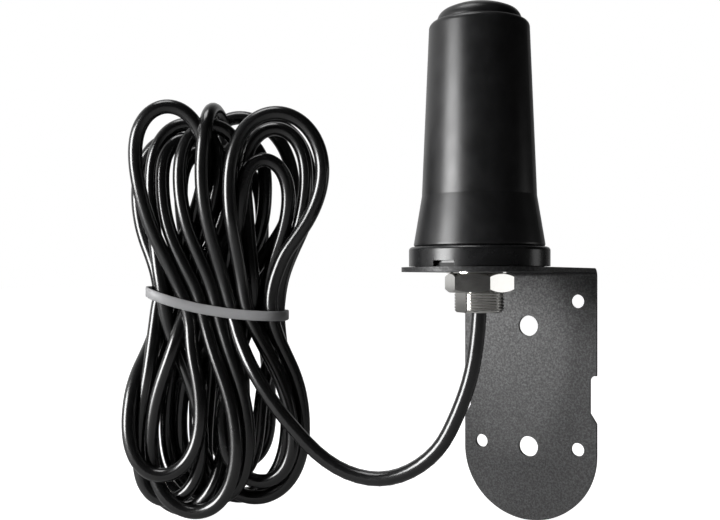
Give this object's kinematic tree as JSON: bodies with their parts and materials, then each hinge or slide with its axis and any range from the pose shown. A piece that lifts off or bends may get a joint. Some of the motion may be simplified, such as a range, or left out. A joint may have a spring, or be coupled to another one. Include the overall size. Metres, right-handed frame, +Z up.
{
  "type": "bracket-mounted cellular antenna",
  "caption": "Tapered black stub antenna clamped by a hollow stud and hex nut to a folded steel bracket, with its coaxial lead tied in a hank and ending in a plug.",
  "frame": {"origin": "middle of the four screw holes, on the back face of the bracket's plate", "axes": "+Z up along the antenna, +Y out of the plate's back face into the wall, +X across the bracket"},
  "size_m": [0.1541, 0.0869, 0.1763],
  "materials": {
    "bracket_coat": "fine speckled black powder coat, satin",
    "radome_plastic": "satin moulded black, fine texture",
    "base_plastic": "satin moulded black",
    "nickel_plate": "bright nickel plate over brass",
    "cable_jacket": "glossy black jacket",
    "tie_strap": "grey flat strap, satin",
    "seal_rubber": "matt black rubber",
    "screw_steel": "zinc plated",
    "board_laminate": "green solder mask over glass laminate",
    "copper": "bare copper foil",
    "braid": "tinned copper braid",
    "solder": "bright solder",
    "holder_plastic": "natural white moulding",
    "foam": "grey closed-cell foam",
    "shrink_sleeve": "matt black shrink sleeve",
    "white_insulator": "white insulator",
    "gold": "gold plated",
    "red_silicone": "red silicone"
  },
  "bodies": {
    "bracket": {"mounting_bracket": "bracket_coat"},
    "antenna": {"antenna_base": "base_plastic", "base_gasket": "seal_rubber", "base_o_ring": "seal_rubber", "base_screws": "screw_steel", "radome_shell": "radome_plastic", "radome_cap": "radome_plastic", "threaded_stud": "nickel_plate", "stud_seal": "seal_rubber", "cable_grommet": "seal_rubber", "feed_coax": "cable_jacket", "feed_core": "braid", "radiator_board": "board_laminate", "lower_element": "copper", "upper_element": "copper", "feed_solder": "solder", "board_holder": "holder_plastic", "holder_screws": "screw_steel", "foam_spacer": "foam", "cable_lead": "cable_jacket", "cable_hank": "cable_jacket", "cable_tail": "cable_jacket", "cable_tie": "tie_strap", "strain_boot": "shrink_sleeve", "crimp_ferrule": "nickel_plate", "connector_body": "nickel_plate", "connector_dielectric": "white_insulator", "centre_pin": "gold", "snap_ring": "nickel_plate", "connector_gasket": "red_silicone"},
    "washer": {"lock_washer": "nickel_plate"},
    "nut": {"hex_nut": "nickel_plate"},
    "plug_nut": {"coupling_nut": "nickel_plate"}
  },
  "joints": [
    {"name": "antenna_swivel", "type": "hinge", "parent": "bracket", "child": "antenna", "pos_m": [0, -0.0454, 0.0379], "axis": [0, 0, 1], "range_deg": [-60, 180]},
    {"name": "nut_travel", "type": "slide", "parent": "antenna", "child": "washer", "axis": [0, 0, 1], "range_m": [-0.0061, 0]},
    {"name": "nut_turn", "type": "hinge", "parent": "washer", "child": "nut", "pos_m": [0, -0.0454, 0.0332], "axis": [0, 0, 1], "range_deg": [-2160, 0]},
    {"name": "coupling_turn", "type": "hinge", "parent": "antenna", "child": "plug_nut", "pos_m": [-0.11671, -0.04436, -0.0258], "axis": [-0.1482, -0.053, -0.9875], "continuous": true}
  ],
  "couplings": [
    {"joint": "nut_travel", "follows": "nut_turn", "m_per_rad": 0.00015915}
  ]
}
